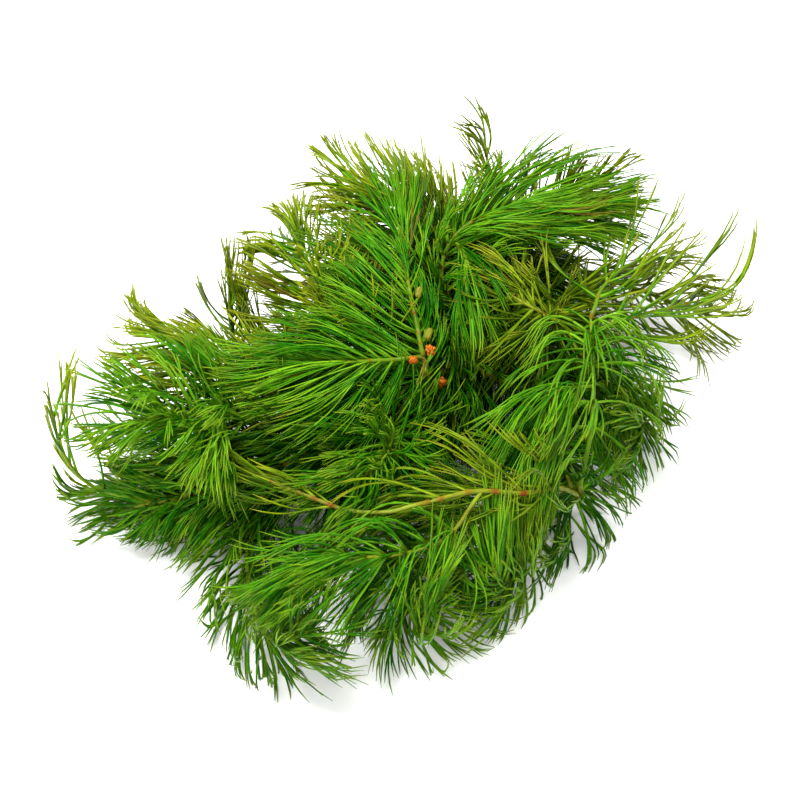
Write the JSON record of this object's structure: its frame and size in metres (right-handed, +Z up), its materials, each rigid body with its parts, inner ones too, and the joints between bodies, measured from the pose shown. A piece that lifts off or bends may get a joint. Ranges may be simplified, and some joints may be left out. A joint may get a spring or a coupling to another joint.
{
  "type": "hornwort",
  "caption": "Branched hornwort water plant lying as a loose mound: a main stem with leafy side shoots, whorls of forked needle leaves, spent flowers and buds",
  "frame": {"origin": "on the surface that the plant rests on, below the middle of its bounding box", "axes": "+X along the mound's length, from the left end to the cut end of the main stem; +Y across it, away from the side with the bare front stem; +Z up"},
  "size_m": [0.1715, 0.122, 0.051],
  "materials": {
    "young_shoot": "fresh bright green leaves, smooth, wet and slightly see-through; stands for living leaf",
    "grown_shoot": "mid-green leaves, smooth and wet; stands for living leaf",
    "old_shoot": "olive to yellow-brown old stem and leaves with red-brown nodes, smooth and wet; stands for living leaf",
    "spent_flower": "orange-brown, soft and crumbly",
    "bud": "yellow-green, smooth"
  },
  "bodies": {
    "root": {"main_stem": "old_shoot", "right_stem": "old_shoot", "inner_shoot": "old_shoot", "front_stem": "old_shoot", "front_shoot": "old_shoot", "upright_shoot": "old_shoot", "end_shoot": "old_shoot", "crown": "young_shoot", "left_plume": "young_shoot", "right_plume": "young_shoot", "drooping_shoot": "young_shoot", "right_fan": "young_shoot", "upper_fan": "young_shoot", "hanging_plume": "young_shoot", "front_left_shoot": "young_shoot", "left_shoot": "young_shoot", "left_inner_shoot": "young_shoot", "right_shoot": "grown_shoot", "middle_shoot": "grown_shoot", "far_left_shoot": "grown_shoot", "back_left_shoot": "grown_shoot", "back_shoot": "grown_shoot", "back_right_shoot": "grown_shoot", "low_right_shoot": "grown_shoot", "low_back_right_shoot": "grown_shoot", "low_back_shoot": "grown_shoot", "low_left_shoot": "grown_shoot", "low_back_left_shoot": "grown_shoot", "low_front_left_shoot": "grown_shoot", "low_front_shoot": "grown_shoot", "low_front_right_shoot": "grown_shoot", "low_flower": "spent_flower", "middle_flower": "spent_flower", "side_flower": "spent_flower", "low_bud": "bud", "high_bud": "bud"}
  },
  "joints": []
}
